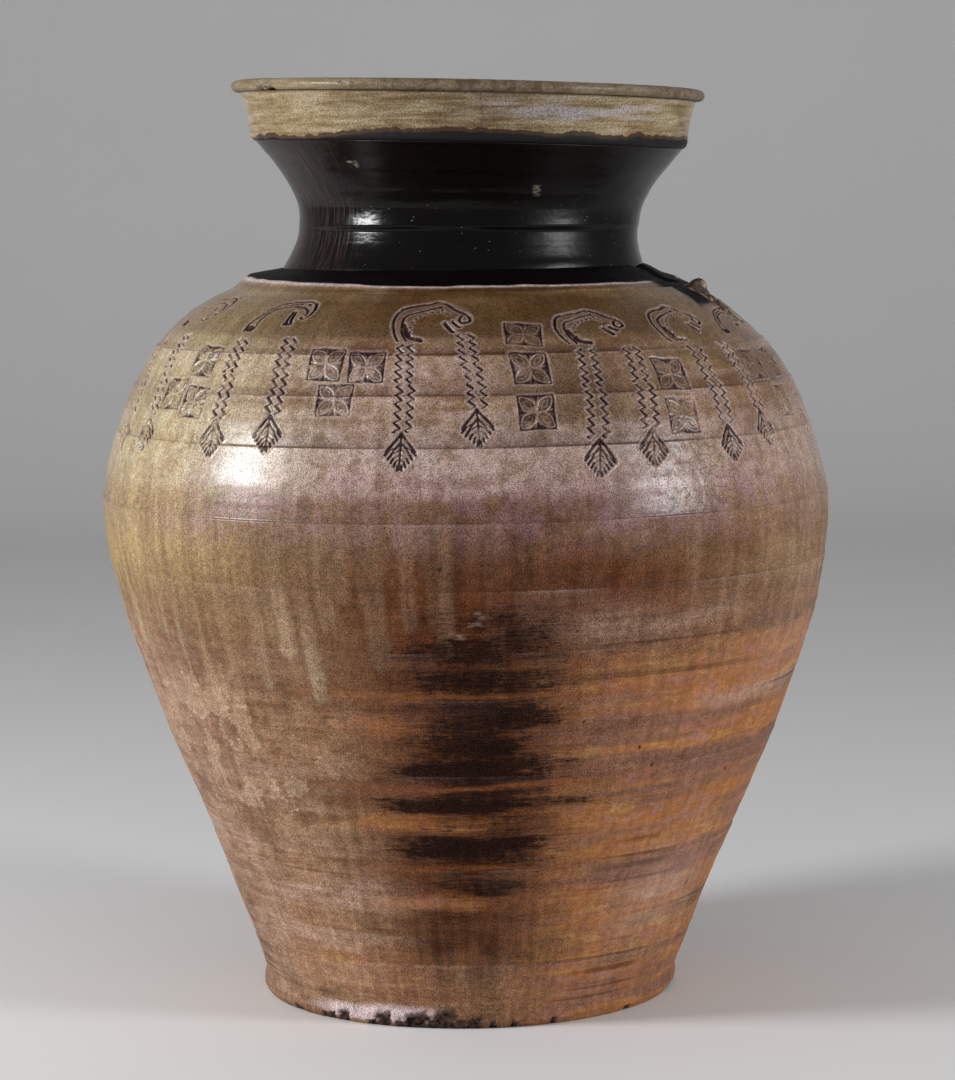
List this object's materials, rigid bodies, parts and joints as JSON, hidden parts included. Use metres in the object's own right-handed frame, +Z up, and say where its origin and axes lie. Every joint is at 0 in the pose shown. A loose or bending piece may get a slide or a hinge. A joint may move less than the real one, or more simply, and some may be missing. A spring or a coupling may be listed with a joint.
{
  "type": "stoneware jar",
  "caption": "Large wide-shouldered stoneware storage jar with a waisted neck, flared mouth collar, rolled lip and stamped shoulder.",
  "frame": {"origin": "middle of the flat underside, on the floor", "axes": "+Z up the jar's axis, -Y towards the side that the picture shows, +X towards the broken lug"},
  "size_m": [0.5452, 0.5452, 0.6809],
  "materials": {
    "raw_clay": "bare fired stoneware, matt and gritty",
    "brown_glaze": "thin mottled brown glaze over clay, satin, with rust and tan bands",
    "olive_glaze": "speckled olive ash glaze, glossy",
    "black_glaze": "black-brown glaze, high gloss",
    "cream_glaze": "cream to straw glaze, crackled, glossy"
  },
  "bodies": {
    "root": {"base_slab": "raw_clay", "foot_ring": "brown_glaze", "lower_wall_ring": "brown_glaze", "middle_wall_ring": "brown_glaze", "upper_wall_ring": "brown_glaze", "under_belly_ring": "brown_glaze", "lower_belly_ring": "brown_glaze", "belly_ring": "brown_glaze", "upper_belly_ring": "olive_glaze", "lower_shoulder_ring": "olive_glaze", "stamped_shoulder_ring": "olive_glaze", "shoulder_cap": "olive_glaze", "neck_ridge": "olive_glaze", "neck": "black_glaze", "mouth_collar": "cream_glaze", "lip_roll": "cream_glaze", "lug_stub": "raw_clay"}
  },
  "joints": []
}
